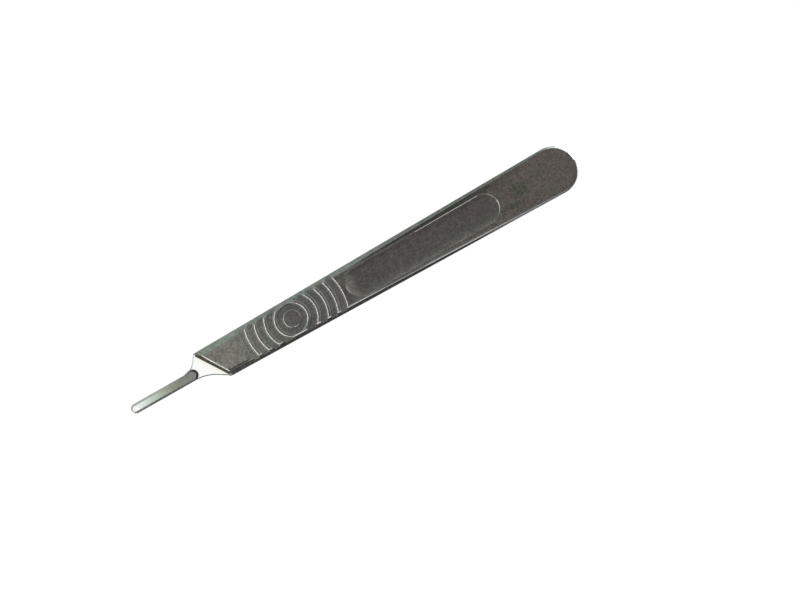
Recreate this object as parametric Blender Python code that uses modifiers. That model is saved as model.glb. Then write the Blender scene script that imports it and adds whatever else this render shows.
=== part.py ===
"""A one-piece steel scalpel handle, with a flat grip and a lug at its nose that holds the blade.

The grip widens and thins towards its round butt. The handle lies on its lower face, with X from
the nose to the butt, Z up, and the origin under the middle of its length. Distances called s are
measured along the handle from the nose.
"""

import math

import bmesh
import bpy
from mathutils import Matrix

MM = 0.001

# Grip body
LENGTH = 125.0 * MM
FRONT_WIDTH = 9.24 * MM
REAR_WIDTH = 12.32 * MM
FRONT_THICKNESS = 3.6 * MM
REAR_THICKNESS = 2.1 * MM
EDGE_LAND = 1.5 * MM
BEVEL_ANGLE = math.radians(36.87)

# Oblique shoulder, from its corner on the back (+Y) edge to its corner on the cutting (-Y) edge
SHOULDER_BACK = 19.8 * MM
SHOULDER_FRONT = 25.6 * MM
SHOULDER_DRAFT = math.radians(20.0)
SHOULDER_FILLET = 0.25 * MM

# Web between the shoulder and the tongue
WEB_UNDERSIDE = 0.8 * MM
WEB_THICKNESS = 0.8 * MM
WEB_BACK_ANGLE = math.radians(55.0)
WEB_BACK_FILLET = 4.0 * MM
WEB_FRONT_ANGLE = math.radians(31.5)
WEB_FRONT_FILLET = 9.8 * MM
WEB_SETBACK = 0.15 * MM

# Tongue and the headed lug that holds the blade
TONGUE_WIDTH = 2.5 * MM
TONGUE_OFFSET = -0.09 * MM
GROOVE_HEIGHT = 0.5 * MM
GROOVE_DEPTH = 0.3 * MM
GROOVE_END = 11.0 * MM
LUG_END = 18.75 * MM
LUG_WIDTH = 2.98 * MM
LUG_FLARE = 1.6 * MM
LUG_MARGIN = 0.1 * MM
HEAD_HEIGHT = 0.8 * MM
HEAD_CHAMFER = 0.4 * MM
HEAD_SLOPE = math.radians(0.8)

# Coined work in both faces, set a little towards the back (+Y) edge
COIN_OFFSET = 0.18 * MM

# Grip pattern, the same on both faces
GRIP_CENTRE = 45.45 * MM
GRIP_DEPTH = 0.45 * MM
GRIP_WALL = 0.28 * MM
DISC_RADIUS = 2.2 * MM
RIDGE_START = 3.78 * MM
RIDGE_PITCH = 2.52 * MM
RIDGE_WIDTH = 0.75 * MM
RIDGE_COUNT = 4
GRIP_FRONT_EDGE = 13.25 * MM
GRIP_REAR_RADIUS = 13.9 * MM

# Shallow label panel, the same on both faces and left bare
PANEL_GRIP_GAP = 1.3 * MM
PANEL_BUTT_GAP = 21.55 * MM
PANEL_RADIUS = 3.85 * MM
PANEL_DEPTH = 0.3 * MM
PANEL_COVE = 1.8 * MM
PANEL_SKEW = math.radians(0.45)

# How far cutters reach past the metal, and how finely curves are divided
CLEAR = 3.0 * MM
SIDE_CLEAR = 9.0 * MM
DIE_LIFT = 0.1 * MM
ARC_STEP = math.radians(4.0)
RING_STEPS = 120
COVE_STEPS = 4

WEB_TOP = WEB_UNDERSIDE + WEB_THICKNESS
HEAD_UNDERSIDE = WEB_TOP + GROOVE_HEIGHT
HEAD_TOP = HEAD_UNDERSIDE + HEAD_HEIGHT
SHOULDER_MIDDLE = (SHOULDER_BACK + SHOULDER_FRONT) / 2
PANEL_FRONT = GRIP_CENTRE + GRIP_REAR_RADIUS + PANEL_GRIP_GAP + PANEL_RADIUS
PANEL_REAR = LENGTH - PANEL_BUTT_GAP - PANEL_RADIUS
SIDE_SLOPE = (REAR_WIDTH - FRONT_WIDTH) / 2 / (LENGTH - SHOULDER_BACK)
FACE_SLOPE = (FRONT_THICKNESS - REAR_THICKNESS) / (LENGTH - SHOULDER_MIDDLE)


def at(s):
    """The X of a distance from the nose."""
    return s - LENGTH / 2


def half_width(s):
    """Half the width over the edge lands."""
    return FRONT_WIDTH / 2 + SIDE_SLOPE * (s - SHOULDER_BACK)


def thickness(s):
    """The thickness between the two faces."""
    return FRONT_THICKNESS - FACE_SLOPE * (s - SHOULDER_MIDDLE)


def rounded(corners):
    """The outline through corners of (x, y, radius), each radius kept to the room on its sides."""
    count = len(corners)
    sides = [math.dist(corners[i][:2], corners[(i + 1) % count][:2]) for i in range(count)]
    inside, reach = [], []
    for i, (x, y, radius) in enumerate(corners):
        before = math.atan2(corners[i - 1][1] - y, corners[i - 1][0] - x)
        after = math.atan2(corners[(i + 1) % count][1] - y, corners[(i + 1) % count][0] - x)
        inside.append(abs((after - before + math.pi) % (2 * math.pi) - math.pi))
        reach.append(radius / math.tan(inside[i] / 2))
    room = [min(1.0, sides[i] / max(reach[i] + reach[(i + 1) % count], 1e-9)) for i in range(count)]
    outline = []
    for i, (x, y, radius) in enumerate(corners):
        length = reach[i] * min(room[i - 1], room[i])
        if length < 1e-8:
            outline.append((x, y))
            continue
        previous = corners[i - 1]
        ux, uy = (previous[0] - x) / sides[i - 1], (previous[1] - y) / sides[i - 1]
        following = corners[(i + 1) % count]
        vx, vy = (following[0] - x) / sides[i], (following[1] - y) / sides[i]
        radius = length * math.tan(inside[i] / 2)
        outward = radius / math.sin(inside[i] / 2) / math.hypot(ux + vx, uy + vy)
        cx, cy = x + (ux + vx) * outward, y + (uy + vy) * outward
        first = math.atan2(y + uy * length - cy, x + ux * length - cx)
        last = math.atan2(y + vy * length - cy, x + vx * length - cx)
        turn = (last - first + math.pi) % (2 * math.pi) - math.pi
        steps = max(2, math.ceil(abs(turn) / ARC_STEP))
        for k in range(steps + 1):
            angle = first + turn * k / steps
            outline.append((cx + radius * math.cos(angle), cy + radius * math.sin(angle)))
    return [point for i, point in enumerate(outline) if math.dist(point, outline[i - 1]) > 1e-7]


def add_object(name, mesh, collection, matrix):
    """A mesh object placed in a collection."""
    thing = bpy.data.objects.new(name, mesh)
    collection.objects.link(thing)
    thing.matrix_world = matrix
    return thing


def add_tool(name, mesh, matrix):
    """A cutting form, which isn't part of the handle itself."""
    tool = add_object(name, mesh, tools, matrix)
    tool.display_type = "WIRE"
    tool.hide_render = True
    return tool


def extruded_outline(name, outline, depth):
    """A flat outline extruded evenly to both sides of its plane."""
    curve = bpy.data.curves.new(name, "CURVE")
    curve.dimensions = "2D"
    curve.fill_mode = "BOTH"
    curve.extrude = depth / 2
    spline = curve.splines.new("POLY")
    spline.points.add(len(outline) - 1)
    for point, (x, y) in zip(spline.points, outline):
        point.co = (x, y, 0, 1)
    spline.use_cyclic_u = True
    carrier = bpy.data.objects.new(name, curve)
    tools.objects.link(carrier)
    graph = bpy.context.evaluated_depsgraph_get()
    mesh = bpy.data.meshes.new_from_object(carrier.evaluated_get(graph))
    bpy.data.objects.remove(carrier)
    bpy.data.curves.remove(curve)
    mesh.name = name
    form = bmesh.new()
    form.from_mesh(mesh)
    bmesh.ops.remove_doubles(form, verts=form.verts, dist=1e-7)
    bmesh.ops.recalc_face_normals(form, faces=form.faces)
    form.to_mesh(mesh)
    form.free()
    return mesh


def stepped_outline(name, outline, base, steps, open_base=False):
    """A flat outline at height base, raised through steps of (rise, inset)."""
    form = bmesh.new()
    top = form.faces.new([form.verts.new((x, y, base)) for x, y in outline])
    top.normal_update()
    if top.normal.z < 0:
        top.normal_flip()
    floor = top
    grown = bmesh.ops.extrude_face_region(form, geom=[top])["geom"]
    top = next(piece for piece in grown if isinstance(piece, bmesh.types.BMFace))
    bmesh.ops.translate(form, verts=top.verts, vec=(0, 0, steps[0][0]))
    for rise, inset in steps[1:]:
        form.normal_update()
        bmesh.ops.inset_region(form, faces=[top], thickness=inset, depth=rise, use_even_offset=True)
    if open_base and floor.is_valid:
        bmesh.ops.delete(form, geom=[floor], context="FACES_ONLY")
    if not open_base:
        bmesh.ops.recalc_face_normals(form, faces=form.faces)
    mesh = bpy.data.meshes.new(name)
    form.to_mesh(mesh)
    form.free()
    return mesh


def profile_mesh(name, points):
    """An open profile of edges in the XZ plane, for turning."""
    form = bmesh.new()
    corners = [form.verts.new((x, 0, z)) for x, z in points]
    for first, second in zip(corners, corners[1:]):
        form.edges.new((first, second))
    mesh = bpy.data.meshes.new(name)
    form.to_mesh(mesh)
    form.free()
    return mesh


def combine(target, operation, tool):
    """A Boolean modifier that works one form on another."""
    modifier = target.modifiers.new(f"{operation.lower()} {tool.name}", "BOOLEAN")
    modifier.operation = operation
    modifier.solver = "EXACT"
    modifier.object = tool


def lower_face(s):
    """A frame on the lower face, with Z into the metal."""
    return Matrix.Translation((at(s), COIN_OFFSET, 0))


def upper_face(s):
    """A frame on the upper face, with Z into the metal."""
    tilt = Matrix.Rotation(math.atan(FACE_SLOPE), 4, "Y")
    turn = Matrix.Rotation(math.pi, 4, "X")
    return Matrix.Translation((at(s), COIN_OFFSET, thickness(s))) @ tilt @ turn


def side_wedge():
    """The blank seen from the side: a wedge that lies flat and thins towards the butt."""
    front, rear = -CLEAR, LENGTH + CLEAR
    outline = [
        (at(front), 0),
        (at(rear), 0),
        (at(rear), thickness(rear)),
        (at(front), thickness(front)),
    ]
    return extruded_outline("scalpel_handle", outline, 2 * SIDE_CLEAR)


def edge_form():
    """The straight sides and round butt, whose land and bevel are mirrored in the middle plane."""
    lean = math.atan(SIDE_SLOPE)
    butt_radius = half_width(LENGTH) * math.cos(lean) / (1 + math.sin(lean))
    front = -2 * CLEAR
    outline = rounded(
        [
            (at(front), -half_width(front), 0),
            (at(LENGTH), -half_width(LENGTH), butt_radius),
            (at(LENGTH), half_width(LENGTH), butt_radius),
            (at(front), half_width(front), 0),
        ]
    )
    rise = thickness(front) / 2
    steps = [(EDGE_LAND / 2, 0), (rise, rise / math.tan(BEVEL_ANGLE))]
    mesh = stepped_outline("edge form", outline, 0, steps, open_base=True)
    tilt = Matrix.Rotation(math.atan(FACE_SLOPE) / 2, 4, "Y")
    form = add_tool("edge form", mesh, Matrix.Translation((0, 0, thickness(LENGTH / 2) / 2)) @ tilt)
    mirror = form.modifiers.new("lower half", "MIRROR")
    mirror.use_axis = (False, False, True)
    mirror.merge_threshold = 1e-6
    return form


def plan_form():
    """The nose from above: the tongue, and the web's two sides, which run out past the edge lands."""
    low = TONGUE_OFFSET - TONGUE_WIDTH / 2
    high = TONGUE_OFFSET + TONGUE_WIDTH / 2
    front_end = SHOULDER_FRONT + WEB_SETBACK
    back_end = SHOULDER_BACK + WEB_SETBACK
    front_corner = half_width(front_end)
    back_corner = half_width(back_end)
    front_run = 1 / math.tan(WEB_FRONT_ANGLE)
    back_run = 1 / math.tan(WEB_BACK_ANGLE)
    outline = rounded(
        [
            (at(0), low, TONGUE_WIDTH / 2),
            (at(front_end - (front_corner + low) * front_run), low, WEB_FRONT_FILLET),
            (at(front_end + (SIDE_CLEAR - front_corner) * front_run), -SIDE_CLEAR, 0),
            (at(LENGTH + CLEAR), -SIDE_CLEAR, 0),
            (at(LENGTH + CLEAR), SIDE_CLEAR, 0),
            (at(back_end + (SIDE_CLEAR - back_corner) * back_run), SIDE_CLEAR, 0),
            (at(back_end - (back_corner - high) * back_run), high, WEB_BACK_FILLET),
            (at(0), high, TONGUE_WIDTH / 2),
        ]
    )
    return add_tool("plan form", extruded_outline("plan form", outline, 4 * FRONT_THICKNESS), Matrix())


def shoulder_frame(height, upward):
    """A frame at the middle of the shoulder's foot, with X square to the shoulder and Z off the web."""
    back = (at(SHOULDER_BACK), half_width(SHOULDER_BACK))
    front = (at(SHOULDER_FRONT), -half_width(SHOULDER_FRONT))
    angle = math.atan2(front[1] - back[1], front[0] - back[0])
    middle = ((back[0] + front[0]) / 2, (back[1] + front[1]) / 2, height)
    flip = Matrix() if upward else Matrix.Diagonal((1, 1, -1, 1))
    return Matrix.Translation(middle) @ flip @ Matrix.Rotation(angle + math.pi / 2, 4, "Z")


def nose_step(name, height, upward):
    """The metal that is cut away in front of the shoulder, above or below the web."""
    reach = LENGTH / 4
    tall = FRONT_THICKNESS + CLEAR
    outline = rounded(
        [
            (-reach, 0, 0),
            (0, 0, SHOULDER_FILLET),
            (tall * math.tan(SHOULDER_DRAFT), tall, 0),
            (-reach, tall, 0),
        ]
    )
    mesh = extruded_outline(name, outline, 2 * reach)
    mesh.transform(Matrix.Rotation(math.pi / 2, 4, "X"))
    mesh.transform(shoulder_frame(height, upward))
    if not upward:
        mesh.flip_normals()
    return add_tool(name, mesh, Matrix())


def lug_form():
    """The lug: straight from its tip, flared to the back edge, round behind and chamfered on top.

    Its top slopes down to the tip, and its sides stand out past the tongue, which is cut first.
    """
    reach = TONGUE_WIDTH / 2 + LUG_MARGIN
    low = TONGUE_OFFSET - reach
    high = low + LUG_WIDTH
    flare_end = LUG_END - 0.6 * LUG_WIDTH
    outline = rounded(
        [
            (at(-LUG_MARGIN), low, reach - LUG_MARGIN),
            (at(LUG_END), low, LUG_WIDTH / 2),
            (at(LUG_END), high, LUG_WIDTH / 2),
            (at(flare_end), high, LUG_FLARE),
            (at(flare_end - LUG_FLARE), TONGUE_OFFSET + reach, LUG_FLARE),
            (at(-LUG_MARGIN), TONGUE_OFFSET + reach, reach - LUG_MARGIN),
        ]
    )
    base = WEB_UNDERSIDE + WEB_THICKNESS / 2
    steps = [(HEAD_TOP - HEAD_CHAMFER - base, 0), (HEAD_CHAMFER, HEAD_CHAMFER)]
    mesh = stepped_outline("lug", outline, base, steps)
    for vertex in mesh.vertices:
        if vertex.co.z > HEAD_UNDERSIDE:
            vertex.co.z -= math.tan(HEAD_SLOPE) * (at(LUG_END) - vertex.co.x)
    return add_tool("lug", mesh, Matrix())


def blade_grooves():
    """The slit round the front of the lug, where the edges of the blade's slot run in."""
    neck = TONGUE_WIDTH / 2 - GROOVE_DEPTH
    outline = rounded(
        [
            (at(-CLEAR), -LUG_WIDTH, 0),
            (at(GROOVE_END), -LUG_WIDTH, 0),
            (at(GROOVE_END), TONGUE_OFFSET - neck, GROOVE_DEPTH / 2),
            (at(GROOVE_DEPTH), TONGUE_OFFSET - neck, neck),
            (at(GROOVE_DEPTH), TONGUE_OFFSET + neck, neck),
            (at(GROOVE_END), TONGUE_OFFSET + neck, GROOVE_DEPTH / 2),
            (at(GROOVE_END), LUG_WIDTH, 0),
            (at(-CLEAR), LUG_WIDTH, 0),
        ]
    )
    mesh = extruded_outline("blade grooves", outline, GROOVE_HEIGHT)
    return add_tool("blade grooves", mesh, Matrix.Translation((0, 0, WEB_TOP + GROOVE_HEIGHT / 2)))


def ring_form(name, matrix):
    """A turned comb whose teeth are the disc and the ridges that stay standing in the grip pocket."""
    backing = GRIP_DEPTH + CLEAR / 4
    beyond = RIDGE_START + RIDGE_COUNT * RIDGE_PITCH
    lean = GRIP_WALL / GRIP_DEPTH * DIE_LIFT
    foot = GRIP_WALL + lean
    top = backing + CLEAR / 4
    profile = [(0, top), (beyond, top), (beyond, backing)]
    for i in reversed(range(RIDGE_COUNT)):
        inner = RIDGE_START + i * RIDGE_PITCH
        outer = inner + RIDGE_WIDTH
        profile += [(outer + foot, backing), (outer + foot, GRIP_DEPTH + DIE_LIFT)]
        profile += [(outer - lean, -DIE_LIFT), (outer - lean, -CLEAR)]
        profile += [(inner + lean, -CLEAR), (inner + lean, -DIE_LIFT)]
        profile += [(inner - foot, GRIP_DEPTH + DIE_LIFT), (inner - foot, backing)]
    profile += [(DISC_RADIUS + foot, backing), (DISC_RADIUS + foot, GRIP_DEPTH + DIE_LIFT)]
    profile += [(DISC_RADIUS - lean, -DIE_LIFT), (DISC_RADIUS - lean, -CLEAR), (0, -CLEAR)]
    form = add_tool(name, profile_mesh(name, profile), matrix)
    turn = form.modifiers.new("turn", "SCREW")
    turn.axis = "Z"
    turn.angle = 2 * math.pi
    turn.steps = RING_STEPS
    turn.render_steps = RING_STEPS
    turn.use_merge_vertices = True
    turn.merge_threshold = 1e-6
    return form


def grip_die(name, matrix):
    """The coining die of the grip: a pocket, straight in front and arched behind, less the ridges."""
    side = half_width(GRIP_CENTRE) + CLEAR
    lean = GRIP_WALL / GRIP_DEPTH * DIE_LIFT
    radius = GRIP_REAR_RADIUS + lean
    reach = math.asin(side / radius)
    outline = [(-GRIP_FRONT_EDGE - lean, side), (-GRIP_FRONT_EDGE - lean, -side)]
    for k in range(33):
        angle = -reach + 2 * reach * k / 32
        outline.append((radius * math.cos(angle), radius * math.sin(angle)))
    steps = [(CLEAR / 2 - DIE_LIFT, 0), (DIE_LIFT + GRIP_DEPTH, lean + GRIP_WALL)]
    mesh = stepped_outline(name, outline, -CLEAR / 2, steps)
    die = add_tool(name, mesh, matrix)
    combine(die, "DIFFERENCE", ring_form(f"{name} ridges", matrix))
    return die


def panel_die(name, matrix, skew):
    """The label panel's die: an obround whose rim runs down to the floor in a cove."""
    rim_angle = 2 * math.atan(PANEL_DEPTH / PANEL_COVE)
    cove_radius = PANEL_COVE / math.sin(rim_angle)
    steps = []
    for k in range(COVE_STEPS):
        first = rim_angle * (1 - k / COVE_STEPS)
        second = rim_angle * (1 - (k + 1) / COVE_STEPS)
        rise = cove_radius * (math.cos(second) - math.cos(first))
        steps.append((rise, cove_radius * (math.sin(first) - math.sin(second))))
    lean = DIE_LIFT * steps[0][1] / steps[0][0]
    steps[0] = (steps[0][0] + DIE_LIFT, steps[0][1] + lean)
    steps.insert(0, (CLEAR / 2 - DIE_LIFT, 0))
    radius = PANEL_RADIUS + lean
    half = (PANEL_REAR - PANEL_FRONT) / 2 + radius
    outline = rounded(
        [
            (-half, -radius, radius),
            (half, -radius, radius),
            (half, radius, radius),
            (-half, radius, radius),
        ]
    )
    mesh = stepped_outline(name, outline, -CLEAR / 2, steps)
    rear = Matrix.Translation(((PANEL_REAR - PANEL_FRONT) / 2, 0, 0))
    turned = rear @ Matrix.Rotation(skew, 4, "Z") @ rear.inverted()
    return add_tool(name, mesh, matrix @ turned)


def brushed_steel():
    """Dark satin stainless steel."""
    steel = bpy.data.materials.new("satin steel")
    steel.use_nodes = True
    shader = steel.node_tree.nodes["Principled BSDF"]
    shader.inputs["Base Color"].default_value = (0.34, 0.33, 0.31, 1)
    shader.inputs["Metallic"].default_value = 1.0
    shader.inputs["Roughness"].default_value = 0.34
    return steel


for old in list(bpy.data.objects):
    bpy.data.objects.remove(old)

product = bpy.data.collections.new("scalpel handle")
tools = bpy.data.collections.new("cutting forms")
bpy.context.scene.collection.children.link(product)
bpy.context.scene.collection.children.link(tools)

# Blank, ground to its side view, its edges and its plan
handle = add_object("scalpel_handle", side_wedge(), product, Matrix())
handle.data.transform(Matrix.Rotation(math.pi / 2, 4, "X"))
combine(handle, "INTERSECT", edge_form())
combine(handle, "INTERSECT", plan_form())

# Nose, stepped down on both faces to the web, with the lug left standing on the upper side
upper_step = nose_step("upper step", WEB_TOP, True)
combine(upper_step, "DIFFERENCE", lug_form())
combine(handle, "DIFFERENCE", upper_step)
combine(handle, "DIFFERENCE", nose_step("lower step", WEB_UNDERSIDE, False))
combine(handle, "DIFFERENCE", blade_grooves())

# Grip pattern and label panel, coined in both faces
panel_middle = (PANEL_FRONT + PANEL_REAR) / 2
combine(handle, "DIFFERENCE", grip_die("upper grip", upper_face(GRIP_CENTRE)))
combine(handle, "DIFFERENCE", grip_die("lower grip", lower_face(GRIP_CENTRE)))
combine(handle, "DIFFERENCE", panel_die("upper panel", upper_face(panel_middle), -PANEL_SKEW))
combine(handle, "DIFFERENCE", panel_die("lower panel", lower_face(panel_middle), PANEL_SKEW))

# Finished mesh, smooth across its arcs and sharp at its edges
graph = bpy.context.evaluated_depsgraph_get()
finished = bpy.data.meshes.new_from_object(handle.evaluated_get(graph))
handle.modifiers.clear()
handle.data = finished
finished.name = "scalpel_handle"
finished.materials.clear()
finished.materials.append(brushed_steel())
finished.shade_smooth()
finished.set_sharp_from_angle(angle=math.radians(20))
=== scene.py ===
"""A scalpel handle in darkened satin steel, lying on a white table and seen from above.

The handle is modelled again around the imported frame, with rounded edges and fillets and finer arcs.
"""

import math

import bmesh
import bpy
from mathutils import Matrix, Vector


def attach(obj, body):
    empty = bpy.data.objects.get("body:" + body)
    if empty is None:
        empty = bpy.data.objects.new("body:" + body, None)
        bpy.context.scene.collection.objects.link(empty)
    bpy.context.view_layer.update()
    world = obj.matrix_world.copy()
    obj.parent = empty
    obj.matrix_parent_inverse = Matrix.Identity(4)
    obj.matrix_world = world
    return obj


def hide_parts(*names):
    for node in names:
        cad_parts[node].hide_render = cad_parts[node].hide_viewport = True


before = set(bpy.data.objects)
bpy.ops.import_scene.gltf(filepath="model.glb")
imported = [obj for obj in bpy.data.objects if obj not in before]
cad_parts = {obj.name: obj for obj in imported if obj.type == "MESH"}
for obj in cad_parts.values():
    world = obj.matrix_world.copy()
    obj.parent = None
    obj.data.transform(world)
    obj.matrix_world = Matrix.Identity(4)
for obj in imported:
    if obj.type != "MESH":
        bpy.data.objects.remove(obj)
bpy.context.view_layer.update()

MM = 0.001

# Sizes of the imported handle
LENGTH = 125.0 * MM
FRONT_WIDTH = 9.24 * MM
REAR_WIDTH = 12.32 * MM
FRONT_THICKNESS = 3.6 * MM
REAR_THICKNESS = 2.1 * MM
EDGE_LAND = 1.5 * MM
BEVEL_ANGLE = math.radians(36.87)
SHOULDER_BACK = 19.8 * MM
SHOULDER_FRONT = 25.6 * MM
SHOULDER_DRAFT = math.radians(20.0)
WEB_UNDERSIDE = 0.8 * MM
WEB_THICKNESS = 0.8 * MM
WEB_BACK_ANGLE = math.radians(55.0)
WEB_BACK_FILLET = 4.0 * MM
WEB_FRONT_ANGLE = math.radians(31.5)
WEB_FRONT_FILLET = 9.8 * MM
WEB_SETBACK = 0.15 * MM
TONGUE_WIDTH = 2.5 * MM
TONGUE_OFFSET = -0.09 * MM
GROOVE_HEIGHT = 0.5 * MM
GROOVE_DEPTH = 0.3 * MM
GROOVE_END = 11.0 * MM
LUG_END = 18.75 * MM
LUG_WIDTH = 2.87 * MM
LUG_FLARE = 1.6 * MM
HEAD_HEIGHT = 0.8 * MM
HEAD_SLOPE = math.radians(0.8)
COIN_OFFSET = 0.18 * MM
GRIP_CENTRE = 45.45 * MM
GRIP_DEPTH = 0.45 * MM
GRIP_WALL = 0.28 * MM
DISC_RADIUS = 2.2 * MM
RIDGE_START = 3.78 * MM
RIDGE_PITCH = 2.52 * MM
RIDGE_WIDTH = 0.75 * MM
RIDGE_COUNT = 4
GRIP_FRONT_EDGE = 13.25 * MM
GRIP_REAR_RADIUS = 13.9 * MM
PANEL_FRONT = 64.5 * MM
PANEL_REAR = 99.6 * MM
PANEL_RADIUS = 3.85 * MM
PANEL_DEPTH = 0.3 * MM
PANEL_COVE = 1.8 * MM
PANEL_SKEW = math.radians(0.45)

# Rounding of the edges and corners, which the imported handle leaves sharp, the small step round the
# recess, and the lug's chamfer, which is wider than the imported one
LAND_ROUND = 0.2 * MM
FACE_ROUND = 1.1 * MM
SHOULDER_ROUND = 0.5 * MM
SHOULDER_FILLET = 0.15 * MM
CORNER_RUN = 0.7 * MM
WEB_ROUND = 0.3 * MM
LUG_ROUND = 0.08 * MM
RIDGE_ROUND = 0.42 * MM
GROOVE_FILLET = 0.16 * MM
PANEL_ROUND = 0.06 * MM
PANEL_STEP = 0.09 * MM
PANEL_STEP_RUN = 0.18 * MM
LUG_CROWN = 0.06 * MM
HEAD_CHAMFER = 0.56 * MM
HEAD_CHAMFER_DROP = 0.4 * MM
TIP_REACH = 0.22 * MM

# How far the forms that are cut or joined reach, the lug's setback from the tongue's sides, and
# the share of its width that its round rear end takes up before the flare
BLANK_FRONT = 10.0 * MM
CUT_AHEAD = 30.0 * MM
CUT_SPAN = 15.0 * MM
WEB_BURIED = 3.0 * MM
LUG_MARGIN = 0.015 * MM
FLARE_RUN = 0.6

# How tools meet the faces, and how finely arcs are divided
RUN_IN = math.radians(12.0)
LIFT = 0.02 * MM
CLEAR = 3.0 * MM
INSIDE = 0.06 * MM
ARC_STEP = math.radians(2.5)
EDGE_STEP = math.radians(9.0)
FACE_STEP = math.radians(3.0)
RING_STEPS = 240
POCKET_STEPS = 48
COVE_STEPS = 8
LUG_SLICES = 24
BEVEL_ROUNDS = 8

WEB_TOP = WEB_UNDERSIDE + WEB_THICKNESS
HEAD_UNDERSIDE = WEB_TOP + GROOVE_HEIGHT
HEAD_TOP = HEAD_UNDERSIDE + HEAD_HEIGHT
SHOULDER_MIDDLE = (SHOULDER_BACK + SHOULDER_FRONT) / 2
PANEL_MIDDLE = (PANEL_FRONT + PANEL_REAR) / 2
PANEL_HALF = (PANEL_REAR - PANEL_FRONT) / 2
SIDE_SLOPE = (REAR_WIDTH - FRONT_WIDTH) / 2 / (LENGTH - SHOULDER_BACK)
FACE_SLOPE = (FRONT_THICKNESS - REAR_THICKNESS) / (LENGTH - SHOULDER_MIDDLE)

# Where one finish gives way to another: a normal's lean from Z in degrees, the size of its Z, a
# share of the lug's width before its rear end, or a height over or under the web
FACE_LEAN = 2
CROWN_LEAN = 17
ROUNDING_LEAN = 35
SHOULDER_LEAN = 60
SIDE_LEAN = 80
UPRIGHT = 91
RIM_LEANS = 4, 88
WEB_FLAT = 0.985
LUG_FLAT = 0.99
LUG_STEEP = 0.95
LUG_REAR = 0.4
RIM_ABOVE_WEB = 1.0 * MM
RIM_BELOW_WEB = 0.5 * MM

# Shares of the grip's depth at which its floor and the foot of its walls begin
FLOOR_SHARE = 0.98
FOOT_SHARE = 0.6

# Angles round the recess's ends, in degrees from the middle towards the near side, where its rim gets a
# painted highlight (FRONT_LIGHT, REAR_LIGHT) and where that fades back to the body's finish (REAR_FADE)
FRONT_LIGHT = -8, 18
REAR_LIGHT = -8, 15
REAR_FADE = 15, 26

# How squarely a ridge's rim faces the nose, or the disc's rim the near side, where it gets a painted
# highlight
NOSEWARD = 0.25
NEARWARD = 0.94


def at(s):
    """The X of a distance from the nose."""
    return s - LENGTH / 2


def half_width(s):
    """Half the width over the edge lands."""
    return FRONT_WIDTH / 2 + SIDE_SLOPE * (s - SHOULDER_BACK)


def thickness(s):
    """The thickness between the two faces."""
    return FRONT_THICKNESS - FACE_SLOPE * (s - SHOULDER_MIDDLE)


def filleted(corners, closed=True, step=ARC_STEP):
    """The line through corners of (x, y, radius), each radius kept to the room on its sides."""
    count = len(corners)
    inside, reach = [], []
    sides = [math.dist(corners[i][:2], corners[(i + 1) % count][:2]) for i in range(count)]
    for i, (x, y, radius) in enumerate(corners):
        before = math.atan2(corners[i - 1][1] - y, corners[i - 1][0] - x)
        after = math.atan2(corners[(i + 1) % count][1] - y, corners[(i + 1) % count][0] - x)
        inside.append(abs((after - before + math.pi) % (2 * math.pi) - math.pi))
        reach.append(radius / math.tan(inside[i] / 2) if radius else 0.0)
    room = [min(1.0, sides[i] / max(reach[i] + reach[(i + 1) % count], 1e-9)) for i in range(count)]
    line = []
    for i, (x, y, radius) in enumerate(corners):
        length = reach[i] * min(room[i - 1], room[i])
        if length < 1e-8 or (not closed and i in (0, count - 1)):
            line.append((x, y))
            continue
        before, after = corners[i - 1], corners[(i + 1) % count]
        ux, uy = (before[0] - x) / sides[i - 1], (before[1] - y) / sides[i - 1]
        vx, vy = (after[0] - x) / sides[i], (after[1] - y) / sides[i]
        radius = length * math.tan(inside[i] / 2)
        outward = radius / math.sin(inside[i] / 2) / math.hypot(ux + vx, uy + vy)
        cx, cy = x + (ux + vx) * outward, y + (uy + vy) * outward
        first = math.atan2(y + uy * length - cy, x + ux * length - cx)
        last = math.atan2(y + vy * length - cy, x + vx * length - cx)
        turn = (last - first + math.pi) % (2 * math.pi) - math.pi
        steps = max(2, math.ceil(abs(turn) / step - 0.01))
        for k in range(steps + 1):
            angle = first + turn * k / steps
            line.append((cx + radius * math.cos(angle), cy + radius * math.sin(angle)))
    if closed:
        return [point for i, point in enumerate(line) if math.dist(point, line[i - 1]) > 1e-7]
    return line


def inward(outline):
    """For each point of a closed outline, the mitred step that moves both its sides in by one."""
    area = sum(a[0] * b[1] - b[0] * a[1] for a, b in zip(outline, outline[1:] + outline[:1]))
    turn = 1 if area > 0 else -1
    steps = []
    for i, point in enumerate(outline):
        sides = []
        for a, b in ((outline[i - 1], point), (point, outline[(i + 1) % len(outline)])):
            length = math.dist(a, b)
            sides.append((-(b[1] - a[1]) / length * turn, (b[0] - a[0]) / length * turn))
        (ax, ay), (bx, by) = sides
        share = 1 + ax * bx + ay * by
        steps.append(((ax + bx) / share, (ay + by) / share))
    return steps


def lofted(name, rings, matrix=Matrix(), paint=None):
    """A closed form through rings of points, capped at both ends.

    The rule paint gives each face its finish from its centre and its normal in the form's own frame.
    """
    form = bmesh.new()
    rows = [[form.verts.new(point) for point in ring] for ring in rings]
    for lower, upper in zip(rows, rows[1:]):
        for i in range(len(lower)):
            j = (i + 1) % len(lower)
            form.faces.new((lower[i], lower[j], upper[j], upper[i]))
    form.faces.new(rows[0])
    form.faces.new(rows[-1])
    bmesh.ops.recalc_face_normals(form, faces=form.faces)
    form.normal_update()
    for face in form.faces:
        face.material_index = paint(face.calc_center_median(), face.normal) if paint else BODY
    mesh = bpy.data.meshes.new(name)
    form.to_mesh(mesh)
    form.free()
    for steel in FINISHES:
        mesh.materials.append(steel)
    thing = bpy.data.objects.new(name, mesh)
    bpy.context.scene.collection.objects.link(thing)
    thing.matrix_world = matrix
    if matrix.determinant() < 0:
        mesh.flip_normals()
    return thing


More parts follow.
